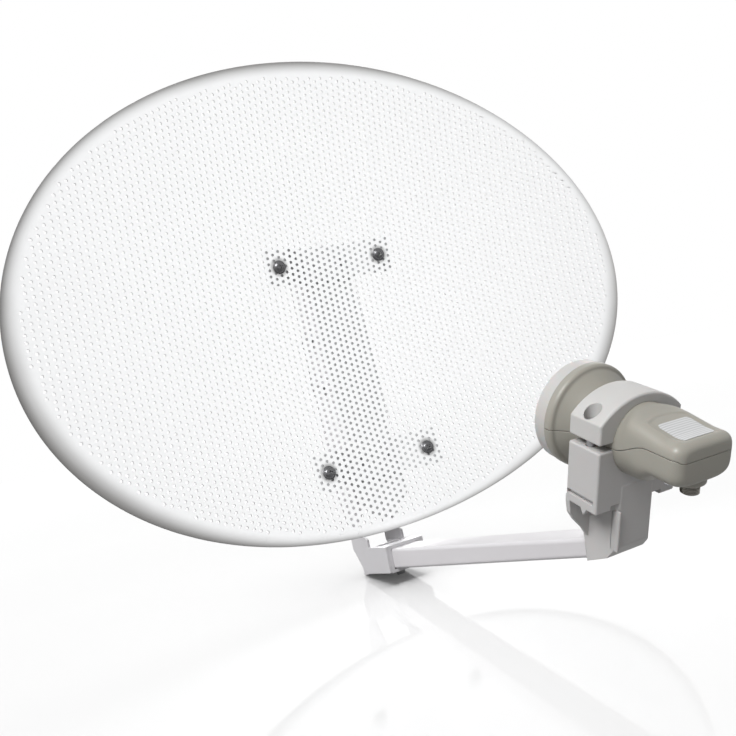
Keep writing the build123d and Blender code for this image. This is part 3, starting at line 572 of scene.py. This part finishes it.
def fillBand(sheet, sections):
    # plain band between the last holes and the start of the rolled edge
    segments = len(sections)
    bpy.ops.object.mode_set(mode="EDIT")
    bpy.ops.mesh.select_all(action="DESELECT")
    bpy.ops.mesh.primitive_circle_add(vertices=segments, radius=dish["halfWidth"], fill_type="NOTHING")
    bpy.ops.object.mode_set(mode="OBJECT")
    oval = [vertex for vertex in sheet.data.vertices if vertex.select]
    for vertex in oval:
        turn = atan2(vertex.co.y, vertex.co.x) / (2 * pi)
        start = sections[round(turn * segments) % segments][0]
        vertex.co = (start.x, start.z, 0)
    ovalIndex = {vertex.index for vertex in oval}
    used = {}
    for face in sheet.data.polygons:
        for key in face.edge_keys:
            used[key] = used.get(key, 0) + 1
    points = sheet.data.vertices
    longSide = perforated["pitch"] * 0.6  # longer than a side of a hole, shorter than a side of a cell

    def borders(edge):
        first, second = edge.vertices
        if first in ovalIndex:
            return True
        single = used.get(tuple(sorted((first, second))), 0) == 1
        return single and (points[first].co - points[second].co).length > longSide

    editSelect(sheet, "EDGE", borders)
    bpy.ops.mesh.fill(use_beauty=True)
    closeSurface(sheet)
    if sheet.data.polygons[0].normal.z < 0:
        flipFaces(sheet)
    return ovalIndex


def rollEdge(sheet, sections, ring):
    # one ring of faces at a time, from the front round to the back
    for step in range(1, len(sections[0])):
        editSelect(sheet, "EDGE", lambda edge: edge.vertices[0] in ring and edge.vertices[1] in ring)
        bpy.ops.mesh.extrude_region()
        bpy.ops.object.mode_set(mode="OBJECT")
        ring = {vertex.index for vertex in sheet.data.vertices if vertex.select}
        for index in ring:
            vertex = sheet.data.vertices[index]
            vertex.co = sections[sectionIndex(vertex.co)][step]


def makePerforated():
    segments = perforated["rimSegments"]
    sections = [rolledEdge(2 * pi * index / segments) for index in range(segments)]
    sheet = makeCell()
    repeatCells(sheet)
    trimCells(sheet)
    ring = fillBand(sheet, sections)
    print("flat sheet", len(sheet.data.polygons), "faces")

    # pressed to its curve, rolled over at the edge and given its gauge
    for vertex in sheet.data.vertices:
        vertex.co = (vertex.co.x, surfaceDepth(vertex.co.x, vertex.co.y), vertex.co.y)
    rollEdge(sheet, sections, ring)
    moveInEdit(sheet, dish["centre"])
    addWall(sheet, "gauge", dish["sheet"], -1)
    closeSurface(sheet)
    return sheet


def sectionIndex(point):
    # which of the sections round the oval a point belongs to
    along = point - cutMiddle
    angle = atan2(along.dot(cutUp) / cutHalfHeight, along.x / dish["halfWidth"])
    return round(angle / (2 * pi) * perforated["rimSegments"]) % perforated["rimSegments"]


def rolledEdge(angle):
    # one section of the rolled edge, from the front surface round to the back (dish frame)
    radius = dish["rimRadius"]
    wide, high = dish["halfWidth"], cutHalfHeight
    outward = (Vector((cos(angle) / wide, 0, 0)) + cutUp * (sin(angle) / high)).normalized()
    edge = cutMiddle + Vector((wide * cos(angle), 0, 0)) + cutUp * (high * sin(angle))
    inset = radius
    insetPasses, surfacePasses = 6, 8  # enough for both to settle
    for _ in range(insetPasses):
        start = edge - outward * inset
        for _ in range(surfacePasses):
            start = start + cutAxis * ((surfaceDepth(start.x, start.z) - start.y) / cutAxis.y)
        back = -surfaceNormal(start.x, start.z)
        inset = radius * (1 + back.dot(outward))
    lean = atan(back.dot(outward) / -back.dot(cutAxis))
    middle = start + back * radius
    section = [start]
    for step in range(1, perforated["rollSteps"] + 1):
        turn = -lean + (pi / 2 + lean) * step / perforated["rollSteps"]
        section.append(middle + outward * (radius * sin(turn)) + cutAxis * (radius * cos(turn)))
    section.append(section[-1] - cutAxis * (dish["rimDepth"] - radius))
    return section


reflector = makePerforated()
finishPiece(reflector, materials["reflector"], "dish_assembly", ("reflector",))


# moulded lip down the near edge of the holder's leg, beside its sunk front panel

lip = {
    "x": -0.0136,
    "width": 0.0017,
    "front": 0.0507,
    "proud": 0.0019,
    "tuck": 0.0040,
    "top": -0.0395,
    "bottom": -0.0640,
    "bevel": 0.0006,
    "bevelSteps": 3,
}

bpy.ops.mesh.primitive_cube_add(size=1, location=(0, 0, 0))
legLip = newPiece("holderLegLip")
legLip.scale = (lip["width"], lip["proud"] + lip["tuck"], lip["top"] - lip["bottom"])
bakePlace(legLip)
editSelect(legLip, "EDGE", lambda edge: True)
bpy.ops.mesh.bevel(offset=lip["bevel"], segments=lip["bevelSteps"])
bpy.ops.object.mode_set(mode="OBJECT")
lipMiddle = feedPoint(
    lip["x"] + lip["width"] / 2,
    lip["front"] + (lip["proud"] - lip["tuck"]) / 2,
    (lip["top"] + lip["bottom"]) / 2,
)
placeInFeed(legLip, lipMiddle)
finishPiece(legLip, materials["holder"], "dish_assembly")


# LNB case, two moulded shells

case = {
    "ringStart": 0.0100,
    "ringRadius": 0.0305,
    "ringEnd": 0.0155,
    "lipRound": 0.0024,
    "flareEnd": 0.0255,
    "flarePower": 1.25,
    "neckRadius": 0.0200,
    "rise": 0.0020,
    "riseEnd": 0.0700,
    "topStart": 0.0510,
    "slopeStart": 0.0640,
    "slopeEnd": 0.0800,
    "sideEnd": 0.0620,
    "bellyEnd": 0.0590,
    "bellyTip": 0.0745,
    "end": 0.0915,
    "halfWidth": 0.0203,
    "shoulder": 0.0173,
    "topEnd": 0.0144,
    "bottom": -0.0098,
    "endRound": 0.0058,
    "endShare": 0.75,
    "squareAbove": 2.6,
    "squareBelow": 1.8,
    "panelStart": 0.0625,
    "panelEnd": 0.0862,
    "panelBow": 0.0030,
    "panelHalfWidth": 0.0125,
    "panelDepth": 0.0005,
    "panelStep": 0.0006,
    "panelSideStep": 0.0008,
    "seamHeight": -0.0018,
    "seamRise": 0.0082,
    "seamRiseStart": 0.0500,
    "seamRiseEnd": 0.0720,
    "seamDrop": 0.3,
    "seamGap": 0.00018,
    "wall": 0.0020,
    "around": 72,
}


def ease(value, start, end):
    ratio = min(1.0, max(0.0, (value - start) / (end - start)))
    return ratio * ratio * (3 - 2 * ratio)


def frontRadius(s):
    # radius of the ring, its rounded lip, the flare behind it and the neck
    over = max(0.0, s - case["ringEnd"] + case["lipRound"]) / case["lipRound"]
    if over <= 1:
        return case["ringRadius"] - case["lipRound"] * (1 - sqrt(1 - over * over))
    behind = case["ringRadius"] - case["lipRound"] - case["neckRadius"]
    flare = (case["flareEnd"] - s) / (case["flareEnd"] - case["ringEnd"])
    return case["neckRadius"] + behind * max(0.0, flare) ** case["flarePower"]


def caseSection(s):
    # half width, top, bottom and squareness above and below, at a station along the feed
    if s < case["topStart"]:
        radius = frontRadius(s)
        return radius, radius, -radius, 2.0, 2.0
    side = ease(s, case["topStart"], case["sideEnd"])
    belly = ease(s, case["bellyEnd"], case["bellyTip"])
    slope = min(1.0, max(0.0, (s - case["slopeStart"]) / (case["slopeEnd"] - case["slopeStart"])))
    settle = ease(s, case["topStart"], case["slopeStart"])
    top = case["neckRadius"] - (case["neckRadius"] - case["shoulder"]) * settle
    top = top - (case["shoulder"] - case["topEnd"]) * slope
    bottom = -case["neckRadius"] + (case["bottom"] + case["neckRadius"]) * belly
    half = case["neckRadius"] + (case["halfWidth"] - case["neckRadius"]) * side
    tail = max(0.0, s - case["end"] + case["endRound"]) / case["endRound"]
    pull = case["endRound"] * (1 - sqrt(max(0.0, 1 - tail * tail)))
    share = pull * case["endShare"]
    above = 2.0 + case["squareAbove"] * side
    below = 2.0 + case["squareBelow"] * belly
    return half - pull, top - share, bottom + share, above, below


def sectionMiddle(s):
    # behind the neck, the section's middle lies above the feed's axis
    return case["rise"] * ease(s, case["topStart"], case["riseEnd"])


def panelSink(x, s):
    # the label's panel is sunk a little, with a bowed front edge
    edge = case["panelStart"] + case["panelBow"] * (x / case["panelHalfWidth"]) ** 2
    front = ease(s, edge, edge + case["panelStep"])
    side = 1 - ease(abs(x), case["panelHalfWidth"], case["panelHalfWidth"] + case["panelSideStep"])
    rear = 1 - ease(s, case["panelEnd"], case["panelEnd"] + case["panelSideStep"])
    return case["panelDepth"] * front * side * rear


def casePoint(s, angle):
    half, top, bottom, above, below = caseSection(s)
    middle = sectionMiddle(s)
    power = 2 / (above if sin(angle) >= 0 else below)
    reach = top - middle if sin(angle) >= 0 else bottom - middle
    x = half * abs(cos(angle)) ** power * (1 if cos(angle) >= 0 else -1)
    h = middle + reach * abs(sin(angle)) ** power
    if h > 0:
        h = h - panelSink(x, s)
    return feedPoint(x, s, h)


def seamAngle(s, gap):
    # where round the section the seam runs, on the +X side
    half, top, bottom, above, below = caseSection(s)
    middle = sectionMiddle(s)
    rise = case["seamRise"] * ease(s, case["seamRiseStart"], case["seamRiseEnd"])
    height = case["seamHeight"] + rise + gap - middle
    height = height * (1 - ease(s, case["end"] - case["endRound"] / 2, case["end"]) * case["seamDrop"])
    ratio = height / (top - middle) if height >= 0 else -height / (bottom - middle)
    squareness = above if height >= 0 else below
    return asin(max(-1.0, min(1.0, abs(ratio) ** (squareness / 2))) * (1 if height >= 0 else -1))


def caseStations():
    # places along the feed, closer together where the shape turns
    front = [case["ringStart"], 0.0115, 0.0129]
    rounded = [case["ringEnd"] - case["lipRound"] * (1 - sin(pi / 2 * k / 6)) for k in range(7)]
    flare = [case["ringEnd"] + 0.0010 * k for k in range(1, 11)]
    body = [0.030, 0.038, 0.046] + [case["topStart"] + 0.0010 * k for k in range(11)]
    panel = [0.0620 + 0.0004 * k for k in range(1, 15)]
    rear = [0.0688 + 0.0012 * k for k in range(14)] + [0.0854]
    tail = [case["end"] - case["endRound"] * (1 - sin(pi / 2 * k / 9)) for k in range(10)]
    return sorted(set(round(s, 6) for s in front + rounded + flare + body + panel + rear + tail))


def loftGrid(name, rows, columns, pointAt):
    # a grid bent into shape, where pointAt gives the place of each row and column
    bpy.ops.mesh.primitive_grid_add(x_subdivisions=columns, y_subdivisions=rows, size=2)
    skin = newPiece(name)
    for vertex in skin.data.vertices:
        column = round((vertex.co.x + 1) / 2 * columns)
        row = round((vertex.co.y + 1) / 2 * rows)
        vertex.co = pointAt(row, column)
    return skin


def makeShell(name, upper):
    stations = caseStations()
    around = case["around"]
    gap = case["seamGap"] * (1 if upper else -1)

    def pointAt(row, column):
        start = seamAngle(stations[row], gap)
        if upper:
            return casePoint(stations[row], start + (pi - 2 * start) * column / around)
        return casePoint(stations[row], start - (pi + 2 * start) * column / around)

    shell = loftGrid(name, len(stations) - 1, around, pointAt)
    tolerance = 0.00001
    lastStation = feedPoint(0, case["end"], 0).dot(feedDir) - tolerance
    editSelect(shell, "VERT", lambda vertex: vertex.co.dot(feedDir) > lastStation)
    bpy.ops.mesh.edge_face_add()
    bpy.ops.object.mode_set(mode="OBJECT")
    closeSurface(shell)
    middle = feedPoint(0, case["riseEnd"], case["rise"])
    outward = sum(1 if face.normal.dot(face.center - middle) > 0 else -1 for face in shell.data.polygons)
    if outward < 0:
        flipFaces(shell)
    addWall(shell, "wall", case["wall"], -1)
    return shell


upperShell = makeShell("lnbUpperShell", True)
finishPiece(upperShell, materials["lnbCase"], "lnb", ("upper_shell",), 40)
lowerShell = makeShell("lnbLowerShell", False)

# a round pad stands proud of the underside, where the connector comes out
pad = {"radius": 0.0098, "depth": 0.0034, "s": 0.0800, "height": -0.0100, "soften": 0.0009, "around": 64}
bpy.ops.mesh.primitive_cylinder_add(vertices=pad["around"], radius=pad["radius"], depth=pad["depth"],
                                    location=(0, 0, 0))
connectorPad = newPiece("connectorPad")
soften = connectorPad.modifiers.new("soften", "BEVEL")
soften.width = pad["soften"]
soften.segments = 4
applyAll(connectorPad)
placeInFeed(connectorPad, feedPoint(0, pad["s"], pad["height"]))
joinPieces(lowerShell, [connectorPad])
finishPiece(lowerShell, materials["lnbCase"], "lnb", ("lower_shell",), 40)


# label on the sunk panel

label = {
    "start": 0.0690,
    "end": 0.0858,
    "halfWidth": 0.0110,
    "corner": 0.0020,
    "lift": 0.00006,
    "film": 0.00022,
    "droop": 0.0040,
    "droopReach": 0.0200,
    "droopPower": 4.6,
    "rows": 20,
    "columns": 24,
}


def labelPoint(row, column):
    # squarish sheet with rounded corners, laid on the panel
    across, along = column / label["columns"] * 2 - 1, row / label["rows"] * 2 - 1
    x = label["halfWidth"] * across
    reach = max(0.0, abs(x) - label["halfWidth"] + label["corner"])
    trim = label["corner"] - sqrt(max(0.0, label["corner"] ** 2 - reach ** 2))
    s = (label["start"] + label["end"]) / 2 + ((label["end"] - label["start"]) / 2 - trim) * along
    top = caseSection(s)[1]
    droop = label["droop"] * (abs(x) / label["droopReach"]) ** label["droopPower"]
    return feedPoint(x, s, top - case["panelDepth"] + label["lift"] - droop)


labelSheet = loftGrid("lnbLabelSheet", label["rows"], label["columns"], labelPoint)
closeSurface(labelSheet)
if labelSheet.data.polygons[0].normal.dot(feedUp) < 0:
    flipFaces(labelSheet)
addWall(labelSheet, "film", label["film"], 1)
finishPiece(labelSheet, materials["labelFilm"], "lnb", ("lnb_label",))


# bolts that hold the dish, with a domed flange head and a cross recess

bolt = {
    "flange": 0.0062,
    "flangeHeight": 0.0009,
    "head": 0.0046,
    "headHeight": 0.0034,
    "shank": 0.0029,
    "reach": 0.0140,
    "tipBevel": 0.0006,
    "recess": 0.0022,
    "recessWidth": 0.0010,
    "recessDepth": 0.0016,
    "lift": 0.00005,
    "around": 32,
    "turn": 35,
    "turnAcross": 400,
    "turnUp": 90,
}
crown, brim = bolt["headHeight"], bolt["flangeHeight"]
boltProfile = [
    (0.0, crown),
    (0.0016, crown - 0.00008),
    (0.0030, crown - 0.0004),
    (0.0040, crown - 0.0010),
    (bolt["head"], brim + 0.0005),
    (bolt["head"] + 0.0003, brim + 0.0001),
    (bolt["flange"] - 0.0003, brim - 0.0002),
    (bolt["flange"], brim - 0.0005),
    (bolt["flange"], 0.0),
    (bolt["shank"], 0.0),
    (bolt["shank"], bolt["tipBevel"] - bolt["reach"]),
    (bolt["shank"] - bolt["tipBevel"], -bolt["reach"]),
    (0.0, -bolt["reach"]),
]
seamWeld = 0.000004  # merges the seam and the poles of turned pieces


def spunProfile(name, profile, around):
    # turns a half profile about the Z axis and welds its seam
    def pointAt(row, column):
        radius, height = profile[row]
        angle = 2 * pi * column / around
        return Vector((radius * cos(angle), radius * sin(angle), height))

    turned = loftGrid(name, len(profile) - 1, around, pointAt)
    closeSurface(turned, seamWeld)
    return turned


def cutWith(piece, cutter):
    selectOnly(piece)
    cut = piece.modifiers.new("cut", "BOOLEAN")
    cut.object = cutter
    cut.solver = "EXACT"
    bpy.ops.object.modifier_apply(modifier=cut.name)
    bpy.data.objects.remove(cutter, do_unlink=True)


boltHead = spunProfile("dishBoltHeads", boltProfile, bolt["around"])
for turn in (0, 90):
    bpy.ops.mesh.primitive_cube_add(size=1, location=(0, 0, bolt["headHeight"]))
    blade = newPiece("recessBlade")
    blade.scale = (2 * bolt["recess"], bolt["recessWidth"], 2 * bolt["recessDepth"])
    blade.rotation_euler = (0, 0, radians(turn))
    bakePlace(blade)
    cutWith(boltHead, blade)
boltCopies = []
for row in dish["boltRows"]:
    for x in (-dish["boltX"], dish["boltX"]):
        selectOnly(boltHead)
        bpy.ops.object.duplicate()
        copy = bpy.context.active_object
        normal = surfaceNormal(x, row)
        seat = dish["centre"] + Vector((x, surfaceDepth(x, row), row)) + normal * bolt["lift"]
        # each bolt was left at a turn of its own
        turn = radians(bolt["turn"] + bolt["turnAcross"] * x + bolt["turnUp"] * row)
        aim = normal.to_track_quat("Z", "Y").to_matrix().to_4x4()
        copy.matrix_world = Matrix.Translation(seat) @ aim @ Matrix.Rotation(turn, 4, "Z")
        bakePlace(copy)
        boltCopies.append(copy)
bpy.data.objects.remove(boltHead, do_unlink=True)
joinPieces(boltCopies[0], boltCopies[1:])
dishBolts = newPiece("dishBoltHeads")
finishPiece(dishBolts, materials["darkBolt"], "dish_assembly", ("dish_bolts",))


# case screws, sunk into the underside

caseScrew = {
    "head": 0.0025,
    "headHeight": 0.0016,
    "socket": 0.0008,
    "socketDepth": 0.0006,
    "shank": 0.00125,
    "reach": 0.0150,
    "point": 0.0010,
    "seat": -0.0079,
    "x": 0.0145,
    "s": 0.0820,
    "around": 28,
}
screwProfile = [
    (0.0, -caseScrew["socketDepth"]),
    (caseScrew["socket"], -caseScrew["socketDepth"]),
    (0.0009, 0.0),
    (0.0016, -0.0001),
    (0.0022, -0.0005),
    (caseScrew["head"], -0.0009),
    (caseScrew["head"], -caseScrew["headHeight"]),
    (caseScrew["shank"], -caseScrew["headHeight"]),
    (caseScrew["shank"], -caseScrew["reach"]),
    (0.0, -caseScrew["reach"] - caseScrew["point"]),
]
caseScrews = []
for x in (-caseScrew["x"], caseScrew["x"]):
    screw = spunProfile("caseScrews", screwProfile, caseScrew["around"])
    placeInFeed(screw, feedPoint(x, caseScrew["s"], caseScrew["seat"] - caseScrew["headHeight"]), pi)
    caseScrews.append(screw)
joinPieces(caseScrews[0], caseScrews[1:])
finishPiece(caseScrews[0], materials["zinc"], "lnb", ("shell_screws",))


# coaxial connector with a real thread

connector = {
    "s": 0.0830,
    "radius": 0.00476,
    "root": 0.00422,
    "pitch": 0.00079,
    "start": -0.0126,
    "end": -0.0172,
    "fadeIn": 0.06,
    "fadeOut": 0.92,
    "bore": 0.0031,
    "boreDepth": 0.0060,
    "collar": 0.0058,
    "top": 0.0010,
    "rows": 64,
    "around": 40,
    "weld": 0.00002,
}


def threadPoint(row, column):
    # each column winds once round, and the radius swings between crest and root
    length = connector["start"] - connector["end"]
    down, winding = row / connector["rows"], column / connector["around"]
    angle = 2 * pi * winding
    phase = (down * length / connector["pitch"] + winding) % 1.0
    crest = 0.5 + 0.5 * cos(2 * pi * phase)
    fade = ease(down, 0.0, connector["fadeIn"]) * (1 - ease(down, connector["fadeOut"], 1.0))
    radius = connector["root"] + (connector["radius"] - connector["root"]) * crest * fade
    return Vector((radius * cos(angle), radius * sin(angle), connector["start"] - length * down))


thread = loftGrid("threadedConnector", connector["rows"], connector["around"], threadPoint)
closeSurface(thread, seamWeld)
mouth, bore, root = connector["end"], connector["bore"], connector["root"]
mouthProfile = [
    (bore, mouth + connector["boreDepth"]),
    (bore, mouth - 0.00005),
    (bore + 0.0002, mouth - 0.0001),
    (root - 0.0003, mouth - 0.0001),
    (root, mouth + 0.0001),
]
collarFoot, collar = connector["start"], connector["collar"]
collarProfile = [
    (root, collarFoot - 0.0001),
    (root, collarFoot + 0.0004),
    (collar - 0.0002, collarFoot + 0.0005),
    (collar, collarFoot + 0.0007),
    (collar, collarFoot + 0.0016),
    (root, collarFoot + 0.0018),
    (root, connector["top"]),
    (0.0, connector["top"]),
]
ends = [spunProfile("connectorMouth", mouthProfile, connector["around"]),
        spunProfile("connectorCollar", collarProfile, connector["around"])]
joinPieces(thread, ends)
closeSurface(thread, connector["weld"])
placeInFeed(thread, feedPoint(0, connector["s"], 0))
finishPiece(thread, materials["nickel"], "lnb", ("f_connector",), 50)


# floor, light and camera

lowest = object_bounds()[0][2]
studio = {
    "floorGap": 0.0006,
    "floorSize": 9.0,
    "ambient": 0.25,
    "keyStrength": 3.5,
    "keyAngle": 30,
    "keyFrom": Vector((-0.62, -0.31, 0.70)),
    "dishStrength": 2.5,
    "dishAngle": 10,
    "dishFrom": Vector((0.06, -0.99, 0.08)),
    "backStrength": 1.5,
    "backAngle": 40,
    "backFrom": Vector((0.45, 0.80, 0.35)),
    "floorStrength": 2.45,
    "floorAngle": 60,
    "floorGlow": 0.05,
    "floorTone": 0.86,
    "floorBounce": 0.35,
}

bpy.ops.mesh.primitive_plane_add(size=studio["floorSize"], location=(0, 0, lowest - studio["floorGap"]))
floor = newPiece("studioFloor")
floorLook = {"color": (0.86, 0.86, 0.86), "drift": 0.02, "grain": 60.0, "cloud": 3.0, "roughness": 0.06,
             "roughDrift": 0.02, "bump": 0.0}
floorMaterial = makeMaterial("studioFloor", floorLook)
floorTree = floorMaterial.node_tree
floorShader = floorTree.nodes["Principled BSDF"]
floorShader.inputs["Emission Color"].default_value = (1, 1, 1, 1)
# pale as the camera sees it, duller as it lights the object from below
seenByCamera = addNode(floorTree, "ShaderNodeLightPath").outputs["Is Camera Ray"]
glow = addMath(floorTree, "MULTIPLY", seenByCamera, studio["floorGlow"])
floorTree.links.new(glow, floorShader.inputs["Emission Strength"])
extra = addMath(floorTree, "MULTIPLY", seenByCamera, studio["floorTone"] - studio["floorBounce"])
floorTree.links.new(addMath(floorTree, "ADD", extra, studio["floorBounce"]), floorShader.inputs["Base Color"])
floor.data.materials.append(floorMaterial)


def addSun(name, strength, angle, fromWhere):
    bpy.ops.object.light_add(type="SUN", location=(-1, -1, 2))
    sun = bpy.context.active_object
    sun.name = name
    sun.data.energy = strength
    sun.data.angle = radians(angle)
    sun.rotation_euler = fromWhere.to_track_quat("Z", "Y").to_euler()
    return sun


def linkOnly(light, name, members):
    # the light reaches these objects and no others
    group = bpy.data.collections.new(name)
    for member in members:
        group.objects.link(member)
    light.light_linking.receiver_collection = group
    return group


key = addSun("softKey", studio["keyStrength"], studio["keyAngle"], studio["keyFrom"])
dishLight = addSun("dishLight", studio["dishStrength"], studio["dishAngle"], studio["dishFrom"])
dishLight.light_linking.blocker_collection = linkOnly(dishLight, "litByDishLight", [reflector])
floorLight = addSun("floorLight", studio["floorStrength"], studio["floorAngle"], Vector((0, 0, 1)))
others = [piece for piece in scene.objects if piece.type == "MESH" and piece not in (reflector, floor)]
key.light_linking.blocker_collection = linkOnly(key, "litByKey", others)
linkOnly(floorLight, "litByFloorLight", [floor])
backLight = addSun("backLight", studio["backStrength"], studio["backAngle"], studio["backFrom"])
linkOnly(backLight, "litByBackLight", others + [reflector])
feet = bpy.data.collections.new("shadingTheFloor")
for name in ("arm_socket", "cheek_left", "cheek_right", "arm_screw"):
    feet.objects.link(nodes[name])
floorLight.light_linking.blocker_collection = feet

world = bpy.data.worlds.new("paleStudio")
scene.world = world
world.use_nodes = True
sky = world.node_tree
background = sky.nodes["Background"]
path = addNode(sky, "ShaderNodeLightPath")
seen = addMath(sky, "MAXIMUM", path.outputs["Is Camera Ray"], path.outputs["Is Glossy Ray"])
seen = addMath(sky, "MULTIPLY", seen, 1.0 - studio["ambient"])
sky.links.new(addMath(sky, "ADD", seen, studio["ambient"]), background.inputs["Strength"])
background.inputs["Color"].default_value = (1, 1, 1, 1)

view = {
    "place": (-0.2910, -0.6861, -0.0248),
    "turn": (90.6726, 11.8342, -25.6940),
    "lens": 36.74,
    "sensor": 36,
    "clipStart": 0.01,
}
bpy.ops.object.camera_add(location=view["place"], rotation=[radians(angle) for angle in view["turn"]])
camera = bpy.context.active_object
camera.name = "mainCamera"
camera.data.lens = view["lens"]
camera.data.sensor_width = view["sensor"]
camera.data.clip_start = view["clipStart"]
scene.camera = camera
print("studio ready")
